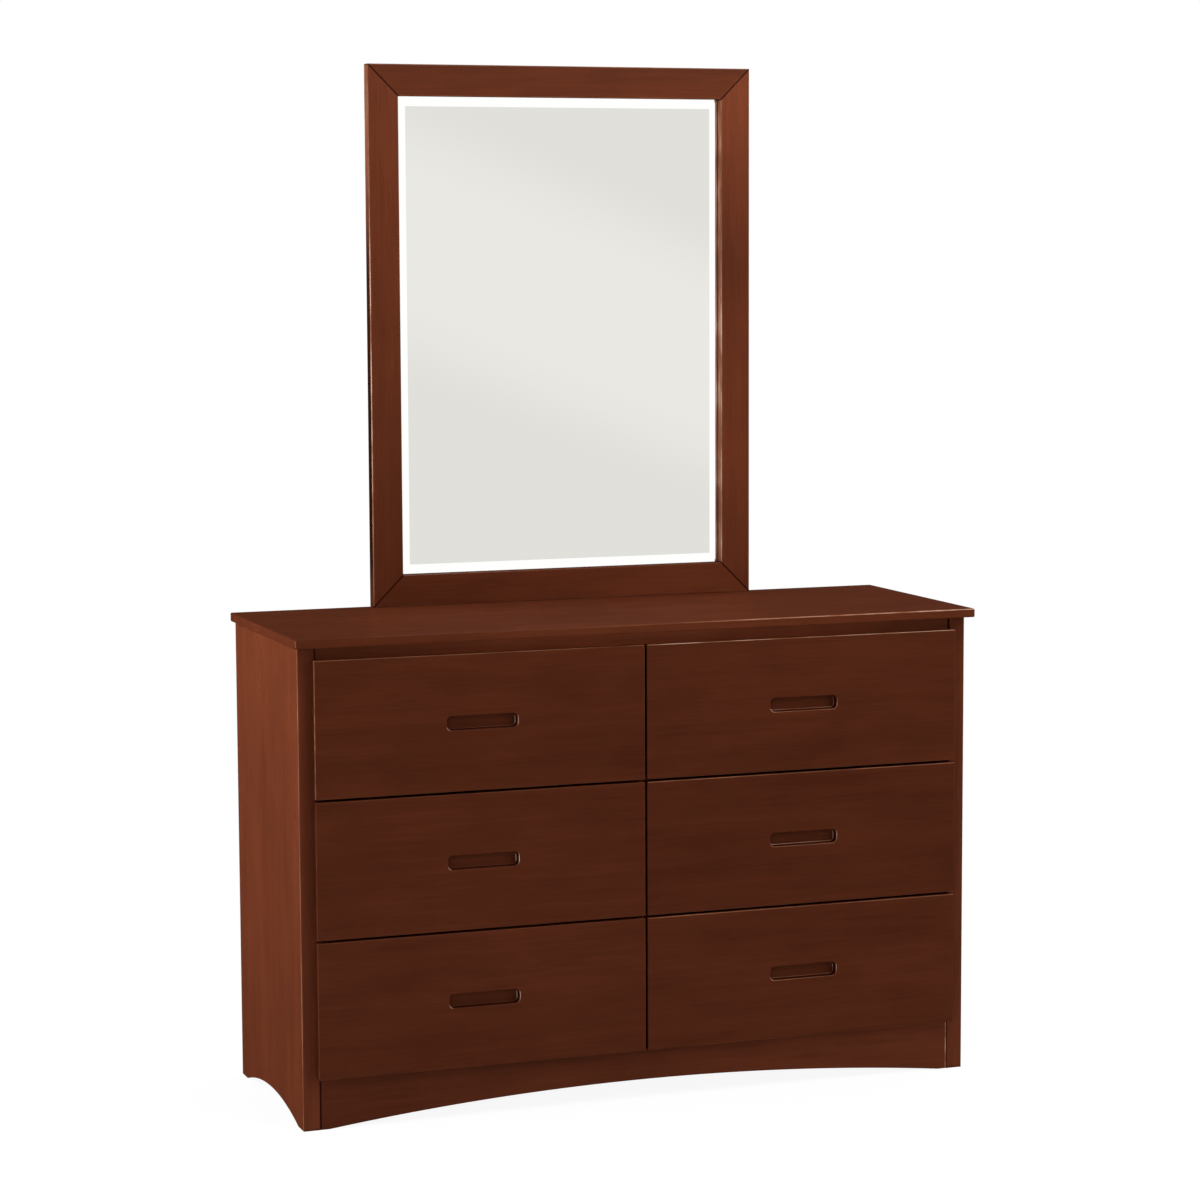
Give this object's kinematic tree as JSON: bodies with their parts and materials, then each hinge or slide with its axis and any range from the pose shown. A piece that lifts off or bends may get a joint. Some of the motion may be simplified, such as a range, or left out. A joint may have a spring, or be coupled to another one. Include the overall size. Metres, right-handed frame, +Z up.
{
  "type": "dresser with mirror",
  "caption": "Dark cherry double dresser with overlay drawers, routed finger pulls and an arched apron, with a mitred framed mirror of bevelled glass on the back of its top.",
  "frame": {"origin": "on the floor under the middle of the whole object's box", "axes": "+Z up, +X to the right as seen from the front, -Y towards the person who opens the drawers"},
  "size_m": [1.22, 0.454, 1.764],
  "materials": {
    "cherry_wood": "dark cherry stain under a satin lacquer",
    "drawer_box_wood": "pale wood, clear sealed",
    "runner_wood": "bare waxed hardwood",
    "hardboard": "smooth brown hardboard",
    "silvered_glass": "bevelled float glass, silvered behind",
    "plated_steel": "zinc plated"
  },
  "bodies": {
    "case": {"top_panel": "cherry_wood", "front_top_rail": "cherry_wood", "front_base_rail": "cherry_wood", "back_top_rail": "cherry_wood", "back_base_rail": "cherry_wood", "centre_partition": "cherry_wood", "back_panel": "hardboard", "top_blocks": "runner_wood", "left_side_panel": "cherry_wood", "left_bottom_runners": "runner_wood", "left_middle_runners": "runner_wood", "left_top_runners": "runner_wood", "right_side_panel": "cherry_wood", "right_bottom_runners": "runner_wood", "right_middle_runners": "runner_wood", "right_top_runners": "runner_wood", "mirror_top_rail": "cherry_wood", "mirror_bottom_rail": "cherry_wood", "mirror_left_stile": "cherry_wood", "mirror_right_stile": "cherry_wood", "mirror_glass": "silvered_glass", "mirror_backing_board": "hardboard", "left_mirror_support": "cherry_wood", "right_mirror_support": "cherry_wood", "runner_screws": "plated_steel", "top_block_screws": "plated_steel", "mirror_support_screws": "plated_steel", "back_panel_nails": "plated_steel", "mirror_turn_buttons": "plated_steel"},
    "left_bottom_drawer": {"left_bottom_drawer_front": "cherry_wood", "left_bottom_drawer_left_side": "drawer_box_wood", "left_bottom_drawer_right_side": "drawer_box_wood", "left_bottom_drawer_back": "drawer_box_wood", "left_bottom_drawer_bottom": "hardboard"},
    "left_middle_drawer": {"left_middle_drawer_front": "cherry_wood", "left_middle_drawer_left_side": "drawer_box_wood", "left_middle_drawer_right_side": "drawer_box_wood", "left_middle_drawer_back": "drawer_box_wood", "left_middle_drawer_bottom": "hardboard"},
    "left_top_drawer": {"left_top_drawer_front": "cherry_wood", "left_top_drawer_left_side": "drawer_box_wood", "left_top_drawer_right_side": "drawer_box_wood", "left_top_drawer_back": "drawer_box_wood", "left_top_drawer_bottom": "hardboard"},
    "right_bottom_drawer": {"right_bottom_drawer_front": "cherry_wood", "right_bottom_drawer_left_side": "drawer_box_wood", "right_bottom_drawer_right_side": "drawer_box_wood", "right_bottom_drawer_back": "drawer_box_wood", "right_bottom_drawer_bottom": "hardboard"},
    "right_middle_drawer": {"right_middle_drawer_front": "cherry_wood", "right_middle_drawer_left_side": "drawer_box_wood", "right_middle_drawer_right_side": "drawer_box_wood", "right_middle_drawer_back": "drawer_box_wood", "right_middle_drawer_bottom": "hardboard"},
    "right_top_drawer": {"right_top_drawer_front": "cherry_wood", "right_top_drawer_left_side": "drawer_box_wood", "right_top_drawer_right_side": "drawer_box_wood", "right_top_drawer_back": "drawer_box_wood", "right_top_drawer_bottom": "hardboard"}
  },
  "joints": [
    {"name": "left_bottom_drawer_slide", "type": "slide", "parent": "case", "child": "left_bottom_drawer", "axis": [0, -1, 0], "range_m": [0, 0.28]},
    {"name": "left_middle_drawer_slide", "type": "slide", "parent": "case", "child": "left_middle_drawer", "axis": [0, -1, 0], "range_m": [0, 0.28]},
    {"name": "left_top_drawer_slide", "type": "slide", "parent": "case", "child": "left_top_drawer", "axis": [0, -1, 0], "range_m": [0, 0.28]},
    {"name": "right_bottom_drawer_slide", "type": "slide", "parent": "case", "child": "right_bottom_drawer", "axis": [0, -1, 0], "range_m": [0, 0.28]},
    {"name": "right_middle_drawer_slide", "type": "slide", "parent": "case", "child": "right_middle_drawer", "axis": [0, -1, 0], "range_m": [0, 0.28]},
    {"name": "right_top_drawer_slide", "type": "slide", "parent": "case", "child": "right_top_drawer", "axis": [0, -1, 0], "range_m": [0, 0.28]}
  ]
}
